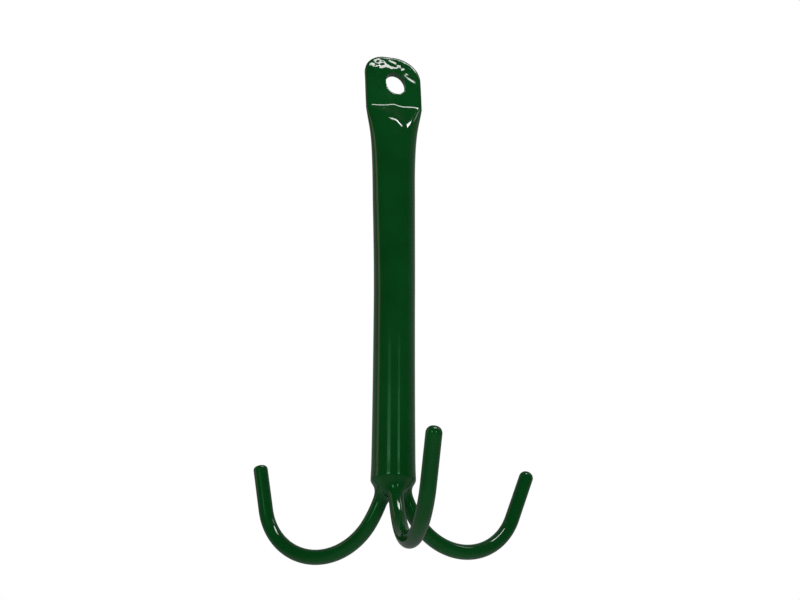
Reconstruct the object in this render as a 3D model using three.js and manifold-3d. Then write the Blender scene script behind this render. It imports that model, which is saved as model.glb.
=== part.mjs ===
// Tack cleaning hook: a steel tube pressed flat and punched at the top, three bent round rods welded
// into its mouth, and one film of dipped plastic over everything.
//
// Millimetres, +Z up. The origin is the centre of the hanging eye, the tube runs straight down from it,
// and the eye's flat faces look along -Y (front) and +Y (back). +X is right as seen from the front.

import * as THREE from "three";
import { mergeVertices } from "three/addons/utils/BufferGeometryUtils.js";
import Module from "manifold-3d";

const wasm = await Module();
wasm.setup();

// Driving dimensions.
const TUBE_RADIUS = 10;
const TUBE_WALL = 1.5;
const ROD_RADIUS = 3;
const FILM = 0.65; // from the steel to the outside of the dipped plastic
const FIT = 0.1; // gap kept inside the film, which leaves it 0.55 thick, and between a weld and its rod
const MOUTH_Z = -226.6; // lower end of the tube
const TOP_Z = 16.75; // upper end of the pressed tube

// The pressed end, from the crease down: [drop below the crease, half width, half thickness].
const CREASE_Z = -15;
const SLIT = 0.3; // what is left of the bore between the pressed walls
const EYE_HALF_THICKNESS = TUBE_WALL + SLIT / 2;
const PRESS_STATIONS = [
  [0, 15.15, EYE_HALF_THICKNESS],
  [8, 13.8, 3.6],
  [13, 12.9, 5.4],
  [20, 12, 7.2],
  [34, 11.25, 8.5],
  [60, 10.75, 9.1],
  [105, 10.3, 9.7],
  [150, TUBE_RADIUS, TUBE_RADIUS],
];
const PRESS_RINGS = 14; // steps between the first station and the last
const FLAT_SIDED_DROP = 30; // the section turns from flat-sided to oval over this drop
const LEAN = 0.9; // the press leaves the crease this far to the left of the tube's axis
const LEAN_DROPS = [25, 115]; // drops over which the lean dies out
const TILT = 0.045; // how far the eye leans further left for each millimetre above the crease
const CORNERS = [{ across: 11, up: 10 }, { across: 15, up: 13.2 }]; // the ground corners, left and right
const CORNER_RINGS = 4;
const EYE_OFFSET = 0.4; // the eye is punched this far to the left of the tube's axis
const EYE_HOLE = { halfWidth: 6.05, halfHeight: 7.95, turn: -20 }; // turned so that its top leans left

// The prongs. Angles are in degrees. azimuth is the way a prong points, from the front (-Y) towards
// the right (+X). The rod is bundled upright in the tube, kicks outwards at the mouth, opens in a
// shallow sweep, turns up in the hook's main bend and ends in a straight tip.
const BUNDLE_RADIUS = 3.95; // each rod's axis from the tube's axis
const ROD_INSERT = 24; // length of rod inside the tube, above the kick
const KICK_RADIUS = 8;
const SWEEP_RADIUS = 57.7;
const BEND_RADIUS = 31.9;
const PRONGS = {
  front: { azimuth: 1, kick: 11, sweep: 22, bend: 120.5, tip: 25, rounding: 2.6 },
  left: { azimuth: -126, kick: 13, sweep: 20.5, bend: 135, tip: 23.5, rounding: 1.3 },
  right: { azimuth: 105.5, kick: 16, sweep: 17, bend: 124, tip: 27, rounding: 2.6 },
};

// The welds at the mouth: a pool across the tube's end and a fillet down each rod.
const POOL_DEPTH = 0.6;
const POOL_INSET = 0.8; // from the tube's outside
const POOL_CORE_RADIUS = 3.7; // the weld doesn't reach the middle of the bundle
const POOL_ROOT = 1.5; // how far the weld runs up into the bore
const FILLET_REACH = 5.6; // from a rod's axis, at the mouth
const FILLET_BITE = 0.6; // how far its curve would run on into the rod
const FILLET_DROP = 6; // down the rod, to that inner end of its curve
const WEB_GAP = 0.6; // from the web of film at the mouth to the film on each rod

// Facets.
const TUBE_SIDES = 28;
const HOLE_SIDES = 24;
const ROD_SIDES = 12;
const RING_SPACING = 5; // along the bends of a rod
const END_RINGS = 3; // rings of a rod's rounded end
const FILLET_RINGS = 4;

const FAR = 60; // larger than any section, for cutting tools
const { degToRad, lerp, smoothstep } = THREE.MathUtils;

const COATED = new THREE.MeshStandardMaterial({ color: 0x0d4420, roughness: 0.22, metalness: 0 });
const STEEL = new THREE.MeshStandardMaterial({ color: 0x8b8f92, roughness: 0.45, metalness: 0.9 });
const WELD = new THREE.MeshStandardMaterial({ color: 0x6c6a66, roughness: 0.6, metalness: 0.8 });

// Solids: a closed BufferGeometry to a manifold solid and back.

function solid(geometry) {
  const bare = geometry.index ? geometry.toNonIndexed() : geometry.clone();
  bare.deleteAttribute("normal");
  bare.deleteAttribute("uv");
  const merged = mergeVertices(bare, 1e-4);
  return new wasm.Manifold(
    new wasm.Mesh({
      numProp: 3,
      vertProperties: merged.attributes.position.array,
      triVerts: new Uint32Array(merged.index.array),
    }),
  );
}

function geometryOf(manifold) {
  const mesh = manifold.getMesh();
  return new THREE.BufferGeometry()
    .setAttribute("position", new THREE.BufferAttribute(mesh.vertProperties, 3))
    .setIndex(new THREE.BufferAttribute(mesh.triVerts, 1))
    .toNonIndexed();
}

const joined = (solids) => solids.reduce((all, one) => all.add(one));

// A solid of revolution about +Z from [radius, z] points that go up the outside.
function turned(points, segments) {
  const profile = points.map(([radius, z]) => new THREE.Vector2(radius, z));
  return new THREE.LatheGeometry(profile, segments).rotateX(Math.PI / 2);
}

// An upright disc or cylinder between two heights.
function disc(radius, bottom, top, segments = TUBE_SIDES) {
  return turned([[0, bottom], [radius, bottom], [radius, top], [0, top]], segments);
}

// The shank.

const pressCurve = new THREE.CatmullRomCurve3(
  PRESS_STATIONS.map((station) => new THREE.Vector3(...station)),
);
const pressed = pressCurve.getPoints(PRESS_RINGS);

// Half width and half thickness of the tube's outside at a drop below the crease.
function halfSizes(drop) {
  if (drop <= 0) return pressed[0];
  const next = pressed.findIndex((station) => station.x > drop);
  if (next < 0) return pressed.at(-1);
  const [above, below] = [pressed[next - 1], pressed[next]];
  return above.clone().lerp(below, (drop - above.x) / (below.x - above.x));
}

// How much narrower one side of the ground end is at a height than it is below its corner.
function cornerCut(z, corner, grow) {
  const rise = Math.max(0, z - (TOP_Z - corner.up)) / (corner.up + grow);
  return (corner.across + grow) * (1 - Math.sqrt(Math.max(0, 1 - rise ** 2)));
}

// A point of a flat-sided slot with round ends, in the first quadrant, at a share of the quarter turn.
function slotPoint(share, halfWidth, halfThickness) {
  const straight = halfWidth - halfThickness;
  if (share > 0.5) return [straight * 2 * (1 - share), halfThickness];
  const turn = share * Math.PI;
  return [straight + halfThickness * Math.cos(turn), halfThickness * Math.sin(turn)];
}

// Presses a round blank of the tube: each point moves to the pressed section at its own height.
function press(geometry, grow) {
  const position = geometry.attributes.position;
  for (let i = 0; i < position.count; i++) {
    const [x, y, z] = [position.getX(i), position.getY(i), position.getZ(i)];
    const drop = CREASE_Z - z;
    const size = halfSizes(drop);
    const cuts = CORNERS.map((corner) => cornerCut(z, corner, grow));
    const width = size.y + grow - (cuts[0] + cuts[1]) / 2;
    const thickness = size.z + grow;
    const radius = Math.hypot(x, y) || 1;
    const share = Math.atan2(Math.abs(y), Math.abs(x)) / (Math.PI / 2);
    const [slotX, slotY] = Math.hypot(x, y) < 1e-3 ? [0, 0] : slotPoint(share, width, thickness);
    const flat = 1 - smoothstep(drop, 0, FLAT_SIDED_DROP);
    const newX = lerp((width * Math.abs(x)) / radius, slotX, flat);
    const newY = lerp((thickness * Math.abs(y)) / radius, slotY, flat);
    const lean = -LEAN * smoothstep(-drop, -LEAN_DROPS[1], -LEAN_DROPS[0]) - TILT * Math.max(0, -drop);
    const middle = lean + (cuts[0] - cuts[1]) / 2;
    position.setXY(i, middle + Math.sign(x) * newX, Math.sign(y) * newY);
  }
  return geometry;
}

// The heights at which the pressed blank has a ring, from one end to the other.
function ringHeights(bottom, top, grow) {
  const heights = pressed.map((station) => CREASE_Z - station.x).reverse();
  for (let i = 0; i < CORNER_RINGS; i++) {
    const turn = (i / CORNER_RINGS) * (Math.PI / 2);
    heights.push(TOP_Z - CORNERS[1].up + (CORNERS[1].up + grow) * Math.sin(turn));
  }
  return [bottom, ...heights, top];
}

// The tube pressed from a full round bar: its outside grown by some film, or its bore.
function pressedSolid(bottom, top, grow) {
  const side = ringHeights(bottom, top, grow).map((z) => [TUBE_RADIUS + grow, z]);
  return solid(press(turned([[0, bottom], ...side, [0, top]], TUBE_SIDES), grow));
}

function eyeHoleSolid(grow) {
  const blank = disc(1, -FAR, FAR, HOLE_SIDES).rotateX(Math.PI / 2);
  blank.scale(EYE_HOLE.halfWidth - grow, 1, EYE_HOLE.halfHeight - grow);
  return solid(blank.rotateY(degToRad(EYE_HOLE.turn)).translate(-EYE_OFFSET, 0, 0));
}

// The shank's outside grown by some film, punched, with its lower end let down by some depth.
function shankSolid(grow, depth) {
  return pressedSolid(MOUTH_Z - depth - grow, TOP_Z + grow, grow).subtract(eyeHoleSolid(grow));
}

// The prongs.

// A rod's centre line in the upright plane of its azimuth, made of [length, radius] stretches. A
// radius of 0 is straight, and every bend turns the same way: outwards, then up.
function rodLine({ azimuth, kick, sweep, bend, tip }) {
  const bends = [[kick, KICK_RADIUS], [sweep, SWEEP_RADIUS], [bend, BEND_RADIUS]];
  const arcs = bends.map(([turn, radius]) => [degToRad(turn) * radius, radius]);
  const stretches = [[ROD_INSERT, 0], ...arcs, [tip, 0]];
  const total = stretches.reduce((sum, [length]) => sum + length, 0);
  const outwards = new THREE.Vector3(Math.sin(degToRad(azimuth)), -Math.cos(degToRad(azimuth)), 0);
  const start = MOUTH_Z + KICK_RADIUS * Math.sin(degToRad(kick)) + ROD_INSERT;
  return { stretches, total, outwards, start, mouth: ROD_INSERT + arcs[0][0] };
}

// The point and the direction of a line at a length along it.
function followLine(line, length) {
  let [out, z, angle] = [BUNDLE_RADIUS, line.start, 0];
  for (const [stretch, radius] of line.stretches) {
    const run = Math.min(length, stretch);
    const next = radius ? angle + run / radius : angle;
    out += radius ? radius * (Math.cos(angle) - Math.cos(next)) : run * Math.sin(angle);
    z -= radius ? radius * (Math.sin(next) - Math.sin(angle)) : run * Math.cos(angle);
    angle = next;
    length -= run;
    if (length <= 0) break;
  }
  const point = line.outwards.clone().multiplyScalar(out).setZ(z);
  const tangent = line.outwards.clone().multiplyScalar(Math.sin(angle)).setZ(-Math.cos(angle));
  return { point, tangent };
}

// Bends a piece that was turned about +Z so that its axis follows a line.
function bent(geometry, line) {
  const position = geometry.attributes.position;
  const sideways = new THREE.Vector3(0, 0, 1).cross(line.outwards);
  for (let i = 0; i < position.count; i++) {
    const [x, y, length] = [position.getX(i), position.getY(i), position.getZ(i)];
    const { point, tangent } = followLine(line, length);
    const inwards = new THREE.Vector3().crossVectors(tangent, sideways);
    point.addScaledVector(sideways, x).addScaledVector(inwards, y);
    position.setXYZ(i, ...point);
  }
  return geometry;
}

// The outside of a straight rod blank from a length to its rounded end, grown by some film.
function rodSide(line, from, rounding, grow) {
  const radius = ROD_RADIUS + grow;
  const corner = rounding + grow;
  const cornerStart = line.total - FILM + grow - corner;
  const side = [[radius, from]];
  let end = 0;
  for (const [length, bendRadius] of line.stretches) {
    const rings = bendRadius ? Math.ceil(length / RING_SPACING) : 1;
    for (let ring = 1; ring <= rings; ring++) {
      const at = end + (length * ring) / rings;
      if (at > from + 1 && at < cornerStart - 1) side.push([radius, at]);
    }
    end += length;
  }
  for (let i = 0; i <= END_RINGS; i++) {
    const turn = (i / END_RINGS) * (Math.PI / 2);
    side.push([radius - corner + corner * Math.cos(turn), cornerStart + corner * Math.sin(turn)]);
  }
  return side;
}

function rodSolid(line, rounding, grow) {
  const side = rodSide(line, 0, rounding, grow);
  const profile = [[0, 0], ...side, [0, side.at(-1)[1]]];
  return solid(bent(turned(profile, ROD_SIDES), line));
}

// The film on one rod, open at its upper end and closed over the rod's end.
function sleeveSolid(line, rounding, from) {
  const outside = rodSide(line, from, rounding, FILM);
  const inside = rodSide(line, from, rounding, FIT).reverse();
  const profile = [...outside, [0, outside.at(-1)[1]], [0, inside[0][1]], ...inside, outside[0]];
  return solid(bent(turned(profile, ROD_SIDES), line));
}

// The welds and the web of film over them.

// The size of a fillet grown by some film: reach from the rod's axis, inner end of its curve, drop.
function filletSize(grow) {
  return [FILLET_REACH + grow, ROD_RADIUS - FILLET_BITE + grow, FILLET_DROP + grow];
}

// The hollow-sided fillet down one rod at the mouth.
function filletSolid(line, grow) {
  const [reach, neck, drop] = filletSize(grow);
  const profile = [[0, line.mouth - 1], [reach, line.mouth - 1]];
  for (let i = 0; i <= FILLET_RINGS; i++) {
    const turn = (i / FILLET_RINGS) * (Math.PI / 2);
    const radius = reach - (reach - neck) * Math.sin(turn);
    profile.push([radius, line.mouth + drop - drop * Math.cos(turn)]);
  }
  profile.push([0, line.mouth + drop]);
  return solid(bent(turned(profile, ROD_SIDES), line));
}

// How far below the mouth the film over a fillet runs out on the rod.
function webDrop() {
  const [reach, neck, drop] = filletSize(FILM);
  return drop - drop * Math.sqrt(1 - ((reach - ROD_RADIUS - FIT) / (reach - neck)) ** 2);
}

// The weld metal of all three rods: the pool on the tube's end, its root in the bore and the fillets.
function weldSolid() {
  const below = solid(disc(2 * TUBE_RADIUS, MOUTH_Z - FAR, MOUTH_Z - FIT));
  const pool = solid(disc(TUBE_RADIUS - POOL_INSET, MOUTH_Z - POOL_DEPTH, MOUTH_Z - FIT));
  const root = solid(disc(TUBE_RADIUS - TUBE_WALL - FIT, MOUTH_Z - POOL_DEPTH / 2, MOUTH_Z + POOL_ROOT));
  const core = solid(disc(POOL_CORE_RADIUS, MOUTH_Z - FAR, MOUTH_Z + FAR, ROD_SIDES));
  const fillets = joined(lines.map((line) => filletSolid(line, 0))).intersect(below);
  return joined([pool, root, fillets]).subtract(rodsWithFit).subtract(core);
}

// The film over the shank, round its end and across its mouth, with a hole for each rod.
function shankFilmSolid() {
  const grown = (grow) => joined([
    shankSolid(grow, POOL_DEPTH),
    ...lines.map((line) => filletSolid(line, grow)),
  ]);
  return grown(FILM).subtract(grown(FIT)).subtract(rodsWithFit);
}

// One rod's own sector of the mouth, between the directions halfway to its neighbours.
function sectorSolid(azimuth, others) {
  const away = (other) => THREE.MathUtils.euclideanModulo(other - azimuth + 180, 360) - 180;
  const edges = others.map((other) => azimuth + away(other) / 2).map(degToRad);
  const inset = FIT / 2;
  const middle = degToRad(azimuth);
  const at = (angle, radius) => [radius * Math.sin(angle), -radius * Math.cos(angle)];
  const start = at(middle, inset / Math.sin(Math.abs(edges[0] - middle)));
  const corners = [start, at(edges[0], FAR), at(middle, 2 * FAR), at(edges[1], FAR)];
  const area = THREE.ShapeUtils.area(corners.map(([x, y]) => new THREE.Vector2(x, y)));
  const points = (area < 0 ? corners.reverse() : corners).map(([x, y]) => new THREE.Vector2(x, y));
  const wedge = new THREE.ExtrudeGeometry(new THREE.Shape(points), { depth: FAR, bevelEnabled: false });
  return solid(wedge.translate(0, 0, MOUTH_Z - FAR / 2));
}

// Assembly.

const names = Object.keys(PRONGS);
const lines = names.map((name) => rodLine(PRONGS[name]));
const rods = (grow) => names.map((name, i) => rodSolid(lines[i], PRONGS[name].rounding, grow));
const rodsWithFit = joined(rods(FIT));
const hook = new THREE.Group();

function addPart(name, manifold, material) {
  const mesh = new THREE.Mesh(geometryOf(manifold), material);
  mesh.name = name;
  mesh.position.x = EYE_OFFSET;
  hook.add(mesh);
}

const boreSolid = pressedSolid(MOUTH_Z - 1, TOP_Z + 1, -TUBE_WALL);
addPart("shank_tube", shankSolid(0, 0).subtract(boreSolid), STEEL);

rods(0).forEach((rod, i) => addPart(`prong_rod_${names[i]}`, rod, STEEL));

const welds = weldSolid();
names.forEach((name) => {
  const others = names.filter((other) => other !== name).map((other) => PRONGS[other].azimuth);
  addPart(`weld_${name}`, welds.intersect(sectorSolid(PRONGS[name].azimuth, others)), WELD);
});

addPart("shank_coating", shankFilmSolid(), COATED);

// Each rod's own film starts just below the web at the mouth.
names.forEach((name, i) => {
  const start = lines[i].mouth + webDrop() + WEB_GAP;
  addPart(`prong_coating_${name}`, sleeveSolid(lines[i], PRONGS[name].rounding, start), COATED);
});

export default hook;
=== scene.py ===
import math

import bmesh
import bpy
import numpy as np
from mathutils import Matrix, Vector

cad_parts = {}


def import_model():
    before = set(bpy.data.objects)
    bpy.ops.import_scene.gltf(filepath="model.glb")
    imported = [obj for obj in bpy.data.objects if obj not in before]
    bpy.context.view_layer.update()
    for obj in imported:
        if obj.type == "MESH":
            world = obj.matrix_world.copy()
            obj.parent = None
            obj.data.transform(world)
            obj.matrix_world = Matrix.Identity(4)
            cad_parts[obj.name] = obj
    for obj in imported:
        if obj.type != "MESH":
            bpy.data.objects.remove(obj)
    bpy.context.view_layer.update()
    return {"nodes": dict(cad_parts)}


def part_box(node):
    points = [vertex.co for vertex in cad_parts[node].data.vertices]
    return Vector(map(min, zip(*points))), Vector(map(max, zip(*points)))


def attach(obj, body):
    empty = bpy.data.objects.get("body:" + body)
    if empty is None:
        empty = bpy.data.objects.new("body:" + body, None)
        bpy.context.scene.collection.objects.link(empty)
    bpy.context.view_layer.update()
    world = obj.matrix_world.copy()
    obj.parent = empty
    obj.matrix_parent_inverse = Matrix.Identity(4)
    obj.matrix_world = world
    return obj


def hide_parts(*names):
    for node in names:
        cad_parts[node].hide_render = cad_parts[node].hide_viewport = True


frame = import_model()

# Lengths are millimetres in the row frame, as they are in the part's drawing. MM turns them to metres.
MM = 0.001


def drawn(vector):
    return np.array(vector) / MM


# From the frame: the ends of the steel tube, and how far the film stands off it.
tube_low, tube_high = [drawn(corner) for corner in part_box("shank_tube")]
TOP_Z = drawn(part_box("shank_coating")[1])[2]
FILM = TOP_Z - tube_high[2]
MOUTH_Z = tube_low[2] - FILM

# The steel inside, and the same with the film on it.
STEEL_ROD_RADIUS = 3
STEEL_EYE_HALF_THICKNESS = 1.65
ROD_RADIUS = STEEL_ROD_RADIUS + FILM
EYE_HALF_THICKNESS = STEEL_EYE_HALF_THICKNESS + FILM

# The pressed end. Its section is an oval that a face in front and one behind cut flat: upright at the
# eye, and below the crease leaning outwards and turned to the right, which leaves a three-cornered scoop.
AXIS_X = 0.4
OVAL_STATIONS = [  # drop below the crease, half width, half thickness
    (0, 15.8, 5.2),
    (4.5, 15.05, 6.3),
    (8, 14.4, 7.2),
    (11, 13.85, 7.85),
    (16, 13.1, 8.3),
    (24, 12.35, 8.9),
    (34, 11.85, 9.4),
    (60, 11.35, 9.9),
    (105, 10.75, 10.4),
    (150, 10.6, 10.6),
    (185, 10.65, 10.65),
    (205, 10.75, 10.75),
]
CREASE_Z = -15
CREASE_WAVE = [  # x, rise
    (-16, -1.7),
    (-10, -1.5),
    (-5, -0.7),
    (-0.5, 0.3),
    (1.5, -0.2),
    (4, -0.3),
    (8, 0.1),
    (14, 0.2),
]
CREASE_ROUND = 0.85
SCOOP_LEAN = 0.33
SCOOP_TURN = 0.023
SCOOP_APEX_X = 5.8
RIDGE_ROUND = 1.1
EYE_RISES = (1, 9)  # above the crease, over which the scooped section turns into the eye's
LEAN = 0.9
LEAN_DROPS = (25, 115)
TILT = 0.045
CORNERS = ((11.5, 10.5), (15.5, 13.8))  # across and up, on the left and on the right
EDGE_ROUND = 1.9
HOLE_HALF_WIDTH = 5.4
HOLE_HALF_HEIGHT = 6.95
HOLE_TURN = 17
LIP_ROUND = 0.7

# Where the film ran thick on the eye, and its ripples near the ground end.
PADS = [  # x, z, degrees falling to the right, half length, half width, height
    (-12, 8.5, 10, 9, 3.8, 0.85),
    (3, 8.5, 20, 3, 2, 0.15),
    (9.5, 1.5, 40, 6, 1.8, 0.33),
]
RIPPLE_INSET = 5.5
RIPPLE_SPREAD = 3.0
RIPPLE_HEIGHT = 0.1
RIPPLE_HEIGHTS = (-2, 9)  # they come in between these heights
RIPPLE_FADE = 0.03  # how much lower the ripples are on the right
RIPPLE_FADE_X = (-6, 6)
BACK_RIPPLE_SHIFT = 2.0  # so that the back's ripples are not the front's

# The prongs' centre lines: degrees, and radii in millimetres.
BUNDLE_RADIUS = 3.95
KICK_RADIUS = 8
SWEEP_RADIUS = 57.7
BEND_RADIUS = 31.9
PRONGS = {
    "front": dict(azimuth=1, kick=11, sweep=22, bend=120.5, tip=25, rounding=3.2),
    "left": dict(azimuth=-126, kick=13, sweep=20.5, bend=135, tip=23.5, rounding=1.9),
    "right": dict(azimuth=105.5, kick=16, sweep=17, bend=124, tip=27, rounding=3.2),
}

# How weld and film fill the mouth.
RIM_ROUND = 1.8
FRONT_RIM_ROUND = 3.2
FRONT_RIM_DEPTHS = (0, 8)  # in front of the axis, over which the rim turns from one to the other
FUNNEL_RIM = 10.6
FUNNEL_NECK = 5.6
FUNNEL_REACH = 4.0
FUNNEL_DEPTH = 7.0
FUNNEL_END_ROUND = 5.0
WEB_ROUND = 3.5
CROTCH_ROUND = 2.0
BEAD = 0.25
BEAD_RISE = 1.5
BEAD_SPREAD = 5

# The rough lofts that the skin starts from, and how it is drawn onto the film.
SHANK_RING_POINTS = 48
SHANK_RINGS = 120
LOFT_TOP_GAP = 1
PRONG_RING_POINTS = 16
PRONG_RING_SPACING = 2
PRONG_LOFT_INSET = 0.2
PRONG_INSERT = 10  # hidden straight length that the skin is drawn with, shorter than the real rod's
PUNCH_REACH = 8
VOXEL = 0.6
GRADIENT_STEP = 0.02
LEAST_SLOPE_SQUARED = 0.05
LONGEST_MOVE = 1.0
SETTLE_ROUNDS = 5
RELAX_ROUNDS = 6
RELAX_SHARE = 0.5
FINISH_ROUNDS = 2
TINY = 1e-9  # keeps divisions away from zero


# The film's outside as a distance field, in millimetres.

def smooth_table(at, rows):
    """Cubic curves through the rows' columns, by their first column."""
    rows = np.array(rows, float)
    knots, values = rows[:, 0], rows[:, 1:]
    slopes = np.gradient(values, knots, axis=0)
    slopes[0] = (values[1] - values[0]) / (knots[1] - knots[0])
    slopes[-1] = 0
    at = np.clip(at, knots[0], knots[-1])
    i = np.clip(np.searchsorted(knots, at, side="right") - 1, 0, len(knots) - 2)
    span = knots[i + 1] - knots[i]
    t = ((at - knots[i]) / span)[:, None]
    span = span[:, None]
    a = values[i] * (1 + 2 * t) * (1 - t) ** 2 + slopes[i] * span * t * (1 - t) ** 2
    b = values[i + 1] * t**2 * (3 - 2 * t) + slopes[i + 1] * span * t**2 * (t - 1)
    return (a + b).T


def smoothstep(at, start, end):
    t = np.clip((at - start) / (end - start), 0, 1)
    return t * t * (3 - 2 * t)


def smooth_min(a, b, reach):
    mix = np.clip(0.5 + 0.5 * (b - a) / reach, 0, 1)
    return b + (a - b) * mix - reach * mix * (1 - mix)


def smooth_max(a, b, reach):
    return -smooth_min(-a, -b, reach)


def rounded_max(a, b, radius):
    """The edge between two faces, rounded to a radius."""
    over = np.hypot(np.maximum(a + radius, 0), np.maximum(b + radius, 0))
    return np.minimum(np.maximum(a + radius, b + radius), 0) + over - radius


def crease_drop(x, z):
    return CREASE_Z + smooth_table(x, CREASE_WAVE)[0] - z


def oval_sizes(drop, z):
    """Half width, half thickness and middle of the tube before the planes cut it."""
    half_width, half_thickness = smooth_table(drop, OVAL_STATIONS)
    bead = BEAD * np.exp(-(((z - MOUTH_Z - BEAD_RISE) / BEAD_SPREAD) ** 2))
    middle = AXIS_X - LEAN * (1 - smoothstep(drop, *LEAN_DROPS)) - TILT * np.maximum(0, -drop)
    return half_width + bead, half_thickness + bead, middle


def outline_field(x, z, half_width):
    """How far outside the eye's outline a point is, seen from the front. Inside it is negative."""
    across = np.where(x < 0, CORNERS[0][0], CORNERS[1][0])
    up = np.where(x < 0, CORNERS[0][1], CORNERS[1][1])
    over_x = np.abs(x) - (half_width - across)
    over_z = z - (TOP_Z - up)
    share = np.hypot(over_x / across, over_z / up) + TINY
    corner = (share - 1) * share / (np.hypot(over_x / across**2, over_z / up**2) + TINY)
    return np.where((over_x > 0) & (over_z > 0), corner, np.maximum(np.abs(x) - half_width, z - TOP_Z))


def ripples(x, y, z):
    """Three crossing trains of bent waves, each finer and lower than the one before."""
    side = np.where(y < 0, 0.0, BACK_RIPPLE_SHIFT)
    first = np.sin(0.9 * x + 0.7 * z + 1.9 * np.sin(0.45 * z + side))
    second = np.sin(1.5 * z - 0.6 * x + 2.1 * np.sin(0.5 * x + 1 + side))
    third = np.sin(2.6 * x + 1.9 * z + 2.5 * np.sin(0.6 * x - 0.4 * z + side))
    return first + 0.6 * second + 0.25 * third


def shank_field(p):
    x, y, z = p.T
    drop = crease_drop(x, z)
    half_width, half_thickness, middle = oval_sizes(drop, z)
    x = x - middle
    share = np.hypot(x / half_width, y / half_thickness) + TINY
    oval = (share - 1) * share / (np.hypot(x / half_width**2, y / half_thickness**2) + TINY)
    below = 0.5 * (drop + np.sqrt(drop**2 + CREASE_ROUND**2))
    lean = SCOOP_LEAN + SCOOP_TURN * np.maximum(SCOOP_APEX_X - x, 0)
    outline = outline_field(x, z, half_width)
    near_end = np.exp(-(((outline + RIPPLE_INSET) / RIPPLE_SPREAD) ** 2)) * smoothstep(z, *RIPPLE_HEIGHTS)
    film = near_end * (RIPPLE_HEIGHT - RIPPLE_FADE * smoothstep(x, *RIPPLE_FADE_X)) * ripples(x, y, z)
    for at_x, at_z, turn, long, short, height in PADS:
        along = (x - at_x) * math.cos(math.radians(turn)) - (z - at_z) * math.sin(math.radians(turn))
        above = (x - at_x) * math.sin(math.radians(turn)) + (z - at_z) * math.cos(math.radians(turn))
        film += height * np.exp(-((along / long) ** 2) - (above / short) ** 2)
    face = np.abs(y) - EYE_HALF_THICKNESS - film
    pressed = smooth_max(oval, face - lean * below, RIDGE_ROUND)
    eye = rounded_max(face, outline, EDGE_ROUND)
    body = pressed + (eye - pressed) * smoothstep(-drop, *EYE_RISES)
    front = smoothstep(-y, *FRONT_RIM_DEPTHS)
    spread = np.exp(np.minimum(z - MOUTH_Z, FUNNEL_REACH) / FUNNEL_REACH)
    funnel = np.hypot(x, y) - FUNNEL_NECK - (FUNNEL_RIM - FUNNEL_NECK) * spread
    funnel = smooth_max(funnel, MOUTH_Z - FUNNEL_DEPTH - z, FUNNEL_END_ROUND)
    return smooth_max(body, funnel, RIM_ROUND + (FRONT_RIM_ROUND - RIM_ROUND) * front)


def hole_field(p):
    turn = math.radians(HOLE_TURN)
    x = p[:, 0] * math.cos(turn) + p[:, 2] * math.sin(turn)
    z = p[:, 2] * math.cos(turn) - p[:, 0] * math.sin(turn)
    x, z = x / HOLE_HALF_WIDTH, z / HOLE_HALF_HEIGHT
    length = np.hypot(x, z) + TINY
    slope = np.hypot(x / HOLE_HALF_WIDTH, z / HOLE_HALF_HEIGHT) / length + TINY
    return (length - 1) / slope


def prong_line(prong):
    """The stretches of a prong: start out, start height, start angle, length, bend radius or 0."""
    turns = [math.radians(prong[name]) for name in ("kick", "sweep", "bend")]
    height = MOUTH_Z + FILM + KICK_RADIUS * math.sin(turns[0])
    out, angle = BUNDLE_RADIUS, 0
    stretches = [(out, height + PRONG_INSERT, angle, PRONG_INSERT, 0)]
    for turn, radius in zip(turns, (KICK_RADIUS, SWEEP_RADIUS, BEND_RADIUS)):
        stretches.append((out, height, angle, turn * radius, radius))
        out += radius * (math.cos(angle) - math.cos(angle + turn))
        height -= radius * (math.sin(angle + turn) - math.sin(angle))
        angle += turn
    stretches.append((out, height, angle, prong["tip"], 0))
    return stretches


def prong_plane(p, azimuth):
    """Distance out from the tube's axis and across the prong's plane."""
    turn = math.radians(azimuth)
    x, y = p[:, 0] - AXIS_X, p[:, 1]
    return x * math.sin(turn) - y * math.cos(turn), x * math.cos(turn) + y * math.sin(turn)


def prong_field(p, prong):
    out, across = prong_plane(p, prong["azimuth"])
    z = p[:, 2]
    near = np.full(len(p), np.inf)
    *arcs, last = prong_line(prong)
    for start_out, start_z, angle, length, radius in arcs:
        if radius:
            middle_out = start_out + radius * math.cos(angle)
            middle_z = start_z + radius * math.sin(angle)
            turn = np.arctan2(middle_z - z, middle_out - out) - angle
            turn = np.clip((turn + math.pi) % (2 * math.pi) - math.pi, 0, length / radius)
            foot_out = middle_out - radius * np.cos(angle + turn)
            foot_z = middle_z - radius * np.sin(angle + turn)
        else:
            along = np.clip(start_z - z, 0, length)
            foot_out, foot_z = start_out, start_z - along
        near = np.minimum(near, np.sqrt((out - foot_out) ** 2 + (z - foot_z) ** 2 + across**2))
    start_out, start_z, angle, length, _ = last
    along = (out - start_out) * math.sin(angle) - (z - start_z) * math.cos(angle)
    aside = (out - start_out) * math.cos(angle) + (z - start_z) * math.sin(angle)
    rounding = prong["rounding"]
    over_side = np.hypot(aside, across) - (ROD_RADIUS - rounding)
    over_end = np.maximum(along - (length - rounding), -along)
    tip = np.hypot(np.maximum(over_side, 0), np.maximum(over_end, 0)) - rounding
    tip += np.minimum(np.maximum(over_side, over_end), 0)
    return np.minimum(near - ROD_RADIUS, tip)


def film_field(p):
    prongs = None
    for prong in PRONGS.values():
        field = prong_field(p, prong)
        prongs = field if prongs is None else smooth_min(prongs, field, CROTCH_ROUND)
    body = smooth_min(shank_field(p), prongs, WEB_ROUND)
    return smooth_max(body, -hole_field(p), LIP_ROUND)


def slope_of(p):
    """Value and gradient of the film's field."""
    value = film_field(p)
    gradient = np.empty_like(p)
    for axis in range(3):
        moved = p.copy()
        moved[:, axis] += GRADIENT_STEP
        gradient[:, axis] = (film_field(moved) - value) / GRADIENT_STEP
    return value, gradient


# The mesh: rough lofts, remeshed as one skin and drawn onto the field.

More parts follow.
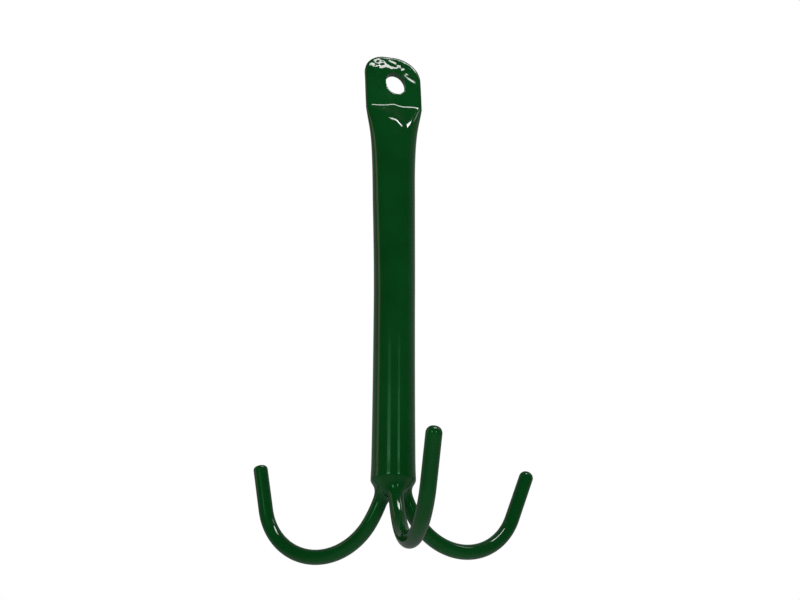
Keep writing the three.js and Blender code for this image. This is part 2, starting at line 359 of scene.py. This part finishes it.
def loft(rings):
    """Vertices and faces of a closed tube through rings of equal length, with flat ends."""
    count = len(rings[0])
    faces = [tuple(range(count))[::-1]]
    for i in range(len(rings) - 1):
        low, high = i * count, (i + 1) * count
        for j in range(count):
            k = (j + 1) % count
            faces.append((low + j, low + k, high + k, high + j))
    faces.append(tuple(range((len(rings) - 1) * count, len(rings) * count)))
    return np.vstack(rings), faces


def mesh_object(name, vertices, faces):
    mesh = bpy.data.meshes.new(name)
    mesh.from_pydata([tuple(v) for v in np.asarray(vertices) * MM], [], faces)
    mesh.validate()
    piece = bpy.data.objects.new(name, mesh)
    bpy.context.scene.collection.objects.link(piece)
    return piece


def shank_loft():
    turns = np.linspace(0, 2 * math.pi, SHANK_RING_POINTS, endpoint=False)
    heights = np.linspace(MOUTH_Z, TOP_Z - LOFT_TOP_GAP, SHANK_RINGS)
    sizes = oval_sizes(CREASE_Z - heights, heights)
    rings = []
    for z, half_width, half_thickness, middle in zip(heights, *sizes):
        x = middle + half_width * np.cos(turns)
        y = min(half_thickness, EYE_HALF_THICKNESS + max(0, CREASE_Z - z)) * np.sin(turns)
        rings.append(np.column_stack([x, y, np.full(SHANK_RING_POINTS, z)]))
    return loft(rings)


def prong_loft(prong):
    turns = np.linspace(0, 2 * math.pi, PRONG_RING_POINTS, endpoint=False)
    azimuth = math.radians(prong["azimuth"])
    outwards = np.array([math.sin(azimuth), -math.cos(azimuth), 0])
    sideways = np.array([math.cos(azimuth), math.sin(azimuth), 0])
    rings = []
    for out, z, angle, length, radius in prong_line(prong):
        count = max(2, int(length / PRONG_RING_SPACING))
        for run in np.linspace(0, length, count, endpoint=radius == 0 and angle > 0):
            turned = angle + (run / radius if radius else 0)
            if radius:
                at_out = out + radius * (math.cos(angle) - math.cos(turned))
                at_z = z - radius * (math.sin(turned) - math.sin(angle))
            else:
                at_out, at_z = out + run * math.sin(angle), z - run * math.cos(angle)
            centre = outwards * at_out + np.array([AXIS_X, 0, at_z])
            normal = outwards * math.cos(turned) + np.array([0, 0, math.sin(turned)])
            circle = np.outer(np.cos(turns), sideways) + np.outer(np.sin(turns), normal)
            rings.append(centre + (ROD_RADIUS - PRONG_LOFT_INSET) * circle)
    return loft(rings)


def punch(piece):
    turns = np.linspace(0, 2 * math.pi, SHANK_RING_POINTS, endpoint=False)
    rings = []
    for y in (-PUNCH_REACH, PUNCH_REACH):
        x, z = HOLE_HALF_WIDTH * np.cos(turns), HOLE_HALF_HEIGHT * np.sin(turns)
        rings.append(np.column_stack([x, np.full(SHANK_RING_POINTS, y), z]))
    cutter = mesh_object("cutter", *loft(rings))
    outward_faces(cutter)
    cut = piece.modifiers.new("eye", "BOOLEAN")
    cut.operation, cut.object, cut.solver = "DIFFERENCE", cutter, "EXACT"
    apply_modifiers(piece)
    bpy.data.objects.remove(cutter)


def apply_modifiers(piece):
    bpy.context.view_layer.update()
    evaluated = piece.evaluated_get(bpy.context.evaluated_depsgraph_get())
    mesh = bpy.data.meshes.new_from_object(evaluated)
    piece.modifiers.clear()
    piece.data = mesh


def outward_faces(piece):
    """Turns every face of each closed shell outwards."""
    shells = bmesh.new()
    shells.from_mesh(piece.data)
    bmesh.ops.recalc_face_normals(shells, faces=shells.faces)
    shells.to_mesh(piece.data)
    shells.free()


def rough_skin():
    piece = mesh_object("plastic_coating", *shank_loft())
    outward_faces(piece)
    punch(piece)
    vertices = [np.array([v.co[:] for v in piece.data.vertices]) / MM]
    faces = [tuple(f.vertices) for f in piece.data.polygons]
    bpy.data.objects.remove(piece)
    for prong in PRONGS.values():
        base = sum(len(v) for v in vertices)
        more, more_faces = prong_loft(prong)
        vertices.append(more)
        faces += [tuple(base + i for i in face) for face in more_faces]
    piece = mesh_object("plastic_coating", np.vstack(vertices), faces)
    outward_faces(piece)
    remesh = piece.modifiers.new("skin", "REMESH")
    remesh.mode, remesh.voxel_size = "VOXEL", VOXEL * MM
    apply_modifiers(piece)
    return piece


def neighbours(mesh):
    edges = np.empty(len(mesh.edges) * 2, np.int32)
    mesh.edges.foreach_get("vertices", edges)
    return edges.reshape(-1, 2)


def relax(points, edges):
    """Each point moved to the mean of its neighbours."""
    total = np.zeros_like(points)
    count = np.zeros(len(points))
    for a, b in ((0, 1), (1, 0)):
        for axis in range(3):
            total[:, axis] += np.bincount(edges[:, a], points[edges[:, b], axis], len(points))
        count += np.bincount(edges[:, a], minlength=len(points))
    return total / count[:, None]


def onto_film(points):
    value, gradient = slope_of(points)
    square = np.maximum((gradient**2).sum(1), LEAST_SLOPE_SQUARED)
    move = gradient * (value / square)[:, None]
    length = np.linalg.norm(move, axis=1)[:, None]
    return points - move * np.minimum(1, LONGEST_MOVE / np.maximum(length, TINY))


def plastic_coating():
    piece = rough_skin()
    mesh = piece.data
    points = np.empty(len(mesh.vertices) * 3)
    mesh.vertices.foreach_get("co", points)
    points = points.reshape(-1, 3) / MM
    edges = neighbours(mesh)
    for _ in range(SETTLE_ROUNDS):
        points = onto_film(points)
    for _ in range(RELAX_ROUNDS):
        points = onto_film(points + RELAX_SHARE * (relax(points, edges) - points))
    for _ in range(FINISH_ROUNDS):
        points = onto_film(points)
    mesh.vertices.foreach_set("co", (points * MM).ravel())
    mesh.update()
    mesh.shade_smooth()
    _, gradient = slope_of(points)
    normals = gradient / np.linalg.norm(gradient, axis=1)[:, None]
    mesh.normals_split_custom_set_from_vertices(normals.tolist())
    return piece


# Materials.

def new_material(name):
    material = bpy.data.materials.new(name)
    material.use_nodes = True
    return material, material.node_tree.nodes, material.node_tree.links


def noise(graph, scale, detail=2, stretch=(1, 1, 1)):
    """A noise of so many waves to the metre, on the piece's own coordinates."""
    nodes, links = graph
    place = nodes.new("ShaderNodeTexCoord")
    mapping = nodes.new("ShaderNodeMapping")
    mapping.inputs["Scale"].default_value = stretch
    texture = nodes.new("ShaderNodeTexNoise")
    texture.inputs["Scale"].default_value = scale
    texture.inputs["Detail"].default_value = detail
    links.new(place.outputs["Object"], mapping.inputs["Vector"])
    links.new(mapping.outputs[0], texture.inputs["Vector"])
    return texture.outputs["Fac"]


def ramp(graph, value, low, high, to_low, to_high):
    """A value between low and high turned into one between to_low and to_high."""
    nodes, links = graph
    change = nodes.new("ShaderNodeMapRange")
    change.inputs["From Min"].default_value = low
    change.inputs["From Max"].default_value = high
    change.inputs["To Min"].default_value = to_low
    change.inputs["To Max"].default_value = to_high
    links.new(value, change.inputs["Value"])
    return change.outputs[0]


def blend_colors(graph, share, first, second):
    nodes, links = graph
    mix = nodes.new("ShaderNodeMix")
    mix.data_type = "RGBA"
    links.new(share, mix.inputs["Factor"])
    for socket, color in (("A", first), ("B", second)):
        entry = next(i for i in mix.inputs if i.name == socket and i.type == "RGBA")
        if isinstance(color, tuple):
            entry.default_value = (*color, 1)
        else:
            links.new(color, entry)
    return next(o for o in mix.outputs if o.type == "RGBA")


def bumps(graph, layers):
    """Stacks heights of so many millimetres into one normal."""
    nodes, links = graph
    normal = None
    for height, depth in layers:
        bump = nodes.new("ShaderNodeBump")
        bump.inputs["Strength"].default_value = 1
        bump.inputs["Distance"].default_value = depth * MM
        links.new(height, bump.inputs["Height"])
        if normal:
            links.new(normal, bump.inputs["Normal"])
        normal = bump.outputs[0]
    return normal


def specks(graph, scale, size):
    """A mask of small spots, one in every few cells of a grid of so many cells to the metre."""
    nodes, links = graph
    place = nodes.new("ShaderNodeTexCoord")
    cells = nodes.new("ShaderNodeTexVoronoi")
    cells.inputs["Scale"].default_value = scale
    links.new(place.outputs["Object"], cells.inputs["Vector"])
    chosen = nodes.new("ShaderNodeSeparateColor")
    links.new(cells.outputs["Color"], chosen.inputs[0])
    spot = ramp(graph, cells.outputs["Distance"], size, 1.6 * size, 1, 0)
    mask = nodes.new("ShaderNodeMath")
    mask.operation = "MULTIPLY"
    links.new(spot, mask.inputs[0])
    links.new(ramp(graph, chosen.outputs[0], 0.72, 0.74, 0, 1), mask.inputs[1])
    return mask.outputs[0]


def dipped_plastic():
    """A glossy green film: slight mottling, trapped grit, orange peel and dull rubbed patches."""
    material, *graph = new_material("dipped_plastic")
    nodes, links = graph
    shader = nodes["Principled BSDF"]
    cloud = ramp(graph, noise(graph, 45, 3), 0.35, 0.65, 0, 1)
    grain = ramp(graph, noise(graph, 420, 2), 0.3, 0.7, 0, 1)
    grit = specks(graph, 130, 0.055)
    color = blend_colors(graph, cloud, (0.0010, 0.0275, 0.0044), (0.0014, 0.0325, 0.0056))
    color = blend_colors(graph, ramp(graph, grain, 0, 1, 0, 0.12), color, (0.0030, 0.0400, 0.0100))
    color = blend_colors(graph, ramp(graph, grit, 0, 1, 0, 0.6), color, (0.0008, 0.0090, 0.0025))
    links.new(color, shader.inputs["Base Color"])
    rubbed = ramp(graph, noise(graph, 70, 5, (1, 1, 0.5)), 0.56, 0.7, 0.075, 0.16)
    links.new(rubbed, shader.inputs["Roughness"])
    layers = [(noise(graph, 55, 1), 0.06), (noise(graph, 260, 1), 0.012), (grit, 0.015)]
    links.new(bumps(graph, layers), shader.inputs["Normal"])
    shader.inputs["IOR"].default_value = 1.5
    return material


def steel(name, light, dark, stretch, roughness):
    """Bare steel with streaks along the way it was drawn, uneven gloss and a few rust spots."""
    material, *graph = new_material(name)
    nodes, links = graph
    shader = nodes["Principled BSDF"]
    streaks = noise(graph, 100, 4, stretch)
    rust = specks(graph, 160, 0.12)
    color = blend_colors(graph, ramp(graph, streaks, 0.3, 0.7, 0, 1), dark, light)
    color = blend_colors(graph, ramp(graph, rust, 0, 1, 0, 0.7), color, (0.16, 0.06, 0.025))
    links.new(color, shader.inputs["Base Color"])
    links.new(ramp(graph, rust, 0, 1, 1, 0.2), shader.inputs["Metallic"])
    uneven = ramp(graph, noise(graph, 300, 3, stretch), 0.3, 0.7, roughness - 0.08, roughness + 0.12)
    links.new(uneven, shader.inputs["Roughness"])
    links.new(bumps(graph, [(streaks, 0.02), (rust, 0.01)]), shader.inputs["Normal"])
    return material


def weld_metal():
    """Rippled weld bead with a straw to blue heat tint and dark spatter."""
    material, *graph = new_material("weld_metal")
    nodes, links = graph
    shader = nodes["Principled BSDF"]
    tint = ramp(graph, noise(graph, 120, 3), 0.35, 0.65, 0, 1)
    spatter = specks(graph, 500, 0.2)
    ridges = nodes.new("ShaderNodeTexWave")
    ridges.inputs["Scale"].default_value = 250
    ridges.inputs["Distortion"].default_value = 6
    links.new(nodes.new("ShaderNodeTexCoord").outputs["Object"], ridges.inputs["Vector"])
    color = blend_colors(graph, tint, (0.40, 0.34, 0.24), (0.22, 0.25, 0.34))
    color = blend_colors(graph, spatter, color, (0.10, 0.09, 0.09))
    links.new(color, shader.inputs["Base Color"])
    shader.inputs["Metallic"].default_value = 1
    links.new(ramp(graph, spatter, 0, 1, 0.38, 0.7), shader.inputs["Roughness"])
    layers = [(ridges.outputs["Fac"], 0.15), (spatter, 0.08)]
    links.new(bumps(graph, layers), shader.inputs["Normal"])
    return material


def cover(names, material):
    for name in names:
        for slot in frame["nodes"][name].material_slots:
            slot.material = material


TUBE = ["shank_tube"]
RODS = [f"prong_rod_{side}" for side in PRONGS]
WELDS = [f"weld_{side}" for side in PRONGS]
cover(TUBE, steel("tube_steel", (0.50, 0.51, 0.52), (0.38, 0.39, 0.41), (1, 1, 0.03), 0.32))
cover(RODS, steel("rod_steel", (0.55, 0.56, 0.57), (0.44, 0.45, 0.46), (1, 1, 0.15), 0.24))
cover(WELDS, weld_metal())

coating = plastic_coating()
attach(coating, "root")
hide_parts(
    "shank_coating", "prong_coating_front", "prong_coating_left", "prong_coating_right"
)
coating.data.materials.append(dipped_plastic())


# Floor, well below the camera. Gloss and the fill on matt surfaces pass it by, but it still shades a
# little of the light from below.

FLOOR_Z = -1000
FLOOR_HALF = 20000


def floor_material():
    material, *graph = new_material("floor")
    nodes, links = graph
    shader = nodes["Principled BSDF"]
    share = ramp(graph, noise(graph, 6, 4), 0.3, 0.7, 0, 1)
    color = blend_colors(graph, share, (0.80, 0.80, 0.79), (0.84, 0.84, 0.83))
    links.new(color, shader.inputs["Base Color"])
    shader.inputs["Roughness"].default_value = 0.8
    return material


def pale_floor():
    signs = ((-1, -1), (1, -1), (1, 1), (-1, 1))
    corners = [(x * FLOOR_HALF, y * FLOOR_HALF, FLOOR_Z) for x, y in signs]
    floor = mesh_object("floor", corners, [(0, 1, 2, 3)])
    floor.data.materials.append(floor_material())
    floor.visible_glossy = False
    floor.visible_diffuse = False


pale_floor()

# Camera: degrees, metres, and millimetres for its sensor and lens.

CAMERA_ANGLES = (-12, -23.21, 0.25)  # azimuth, elevation and roll
CAMERA_PLACE = (-0.1076, -0.52195, -0.3597)
CAMERA_SENSOR = 36
CAMERA_LENS = 50.64
CAMERA_CLIP = (0.01, 50)


def photo_camera():
    """A camera below the hook's middle, looking up at its front from the left."""
    azimuth, elevation, roll = [math.radians(angle) for angle in CAMERA_ANGLES]
    back = Vector((
        math.sin(azimuth) * math.cos(elevation),
        -math.cos(azimuth) * math.cos(elevation),
        math.sin(elevation),
    ))
    turn = (-back).to_track_quat("-Z", "Y").to_matrix() @ Matrix.Rotation(roll, 3, "Z")
    camera = bpy.data.objects.new("camera", bpy.data.cameras.new("camera"))
    bpy.context.scene.collection.objects.link(camera)
    camera.location = CAMERA_PLACE
    camera.rotation_mode = "QUATERNION"
    camera.rotation_quaternion = turn.to_quaternion()
    camera.data.sensor_width = CAMERA_SENSOR
    camera.data.lens = CAMERA_LENS
    camera.data.clip_start, camera.data.clip_end = CAMERA_CLIP
    bpy.context.scene.camera = camera


photo_camera()


# Lights, in metres and degrees.

LIGHT_DISTANCE = 1.5
HOOK_MIDDLE = Vector((0, 0, -0.12))
EYE = Vector((0, 0, 0))
EYE_LIGHT_DISTANCE = 0.35


def area_light(
    name, azimuth, elevation, width, height, radiance, color=(1, 1, 1),
    middle=HOOK_MIDDLE, distance=LIGHT_DISTANCE,
):
    """A soft box aimed at the hook. Its place and size are angles in degrees as the hook sees them."""
    turn, rise = math.radians(azimuth), math.radians(elevation)
    away = Vector((math.sin(turn) * math.cos(rise), -math.cos(turn) * math.cos(rise), math.sin(rise)))
    data = bpy.data.lights.new(name, "AREA")
    data.shape = "RECTANGLE"
    data.size, data.size_y = [2 * distance * math.tan(math.radians(a / 2)) for a in (width, height)]
    data.energy = radiance * math.pi * data.size * data.size_y
    data.color = color
    light = bpy.data.objects.new(name, data)
    light.location = middle + away * distance
    light.rotation_mode = "QUATERNION"
    light.rotation_quaternion = away.to_track_quat("Z", "Y")
    light.visible_camera = False
    bpy.context.scene.collection.objects.link(light)


area_light("key_wide", 17, 49.5, 34, 12, 14, middle=EYE, distance=EYE_LIGHT_DISTANCE)
area_light("key_side", 38, 47, 8, 7, 14, middle=EYE, distance=EYE_LIGHT_DISTANCE)
area_light("lamp_right", 75, 48, 16, 8, 2.5)
area_light("doorway", -104, 24, 14, 40, 0.6, (1, 0.75, 0.5))

# Two tall windows low in front, each dimmer towards its top.
WINDOWS = ((-36, 16), (16, 11))  # azimuth, width
WINDOW_BANDS = [  # lower edge, upper edge, radiance
    (-4, 9.4, 4),
    (9.4, 10.8, 3.4),
    (10.8, 12.1, 2.6),
    (12.1, 14, 1.5),
    (14, 16.6, 0.9),
    (16.6, 19.8, 0.4),
]
WINDOW_TINT = (0.3, 1, 0.5)
for azimuth, width in WINDOWS:
    for low, high, radiance in WINDOW_BANDS:
        area_light("window", azimuth, (low + high) / 2, width, high - low, radiance, WINDOW_TINT)

# The world's levels. A level rises over the cosines from its start to LEVEL_FULL_AT.
LEVEL_FULL_AT = 0.8
WIDE_START = -0.4
BEHIND = (0.2, 0.98, 0)
DOWN = (0, 0, -1)
SEEN_LEVEL = 1.0
FILL_ABOVE = 0.95
FILL_BELOW = 2.3
REFLECTED_FRONT = 0.008
REFLECTED_BACK = 0.27
REFLECTED_BELOW = 0.12
REFLECTED_TINT = (0.85, 1, 0.9)


def world():
    """White to the camera. Matt surfaces get a fill, stronger from below. Gloss reflects a room that
    is dark in front, and paler behind and below."""
    setting = bpy.data.worlds.new("studio")
    bpy.context.scene.world = setting
    setting.use_nodes = True
    nodes, links = setting.node_tree.nodes, setting.node_tree.links
    nodes.clear()
    path = nodes.new("ShaderNodeLightPath")
    direction = nodes.new("ShaderNodeTexCoord").outputs["Generated"]

    def level(towards, start, low, high):
        """A strength that rises smoothly from low to high as the direction turns that way."""
        share = nodes.new("ShaderNodeVectorMath")
        share.operation = "DOT_PRODUCT"
        share.inputs[1].default_value = towards
        links.new(direction, share.inputs[0])
        rise = nodes.new("ShaderNodeMapRange")
        rise.interpolation_type = "SMOOTHSTEP"
        rise.inputs["From Min"].default_value = start
        rise.inputs["From Max"].default_value = LEVEL_FULL_AT
        rise.inputs["To Min"].default_value = low
        rise.inputs["To Max"].default_value = high
        links.new(share.outputs["Value"], rise.inputs["Value"])
        return rise.outputs[0]

    def background(strength, color=(1, 1, 1)):
        shader = nodes.new("ShaderNodeBackground")
        shader.inputs["Color"].default_value = (*color, 1)
        if isinstance(strength, float):
            shader.inputs["Strength"].default_value = strength
        else:
            links.new(strength, shader.inputs["Strength"])
        return shader.outputs[0]

    def mixed(share, first, second):
        mix = nodes.new("ShaderNodeMixShader")
        links.new(share, mix.inputs[0])
        links.new(first, mix.inputs[1])
        links.new(second, mix.inputs[2])
        return mix.outputs[0]

    reflected = nodes.new("ShaderNodeMath")
    links.new(level(BEHIND, WIDE_START, REFLECTED_FRONT, REFLECTED_BACK), reflected.inputs[0])
    links.new(level(DOWN, 0, 0, REFLECTED_BELOW), reflected.inputs[1])
    room = background(reflected.outputs[0], REFLECTED_TINT)
    fill = background(level(DOWN, WIDE_START, FILL_ABOVE, FILL_BELOW))
    lit = mixed(path.outputs["Is Diffuse Ray"], room, fill)
    shown = mixed(path.outputs["Is Camera Ray"], lit, background(SEEN_LEVEL))
    out = nodes.new("ShaderNodeOutputWorld")
    links.new(shown, out.inputs["Surface"])


world()
bpy.context.scene.view_settings.view_transform = "Standard"
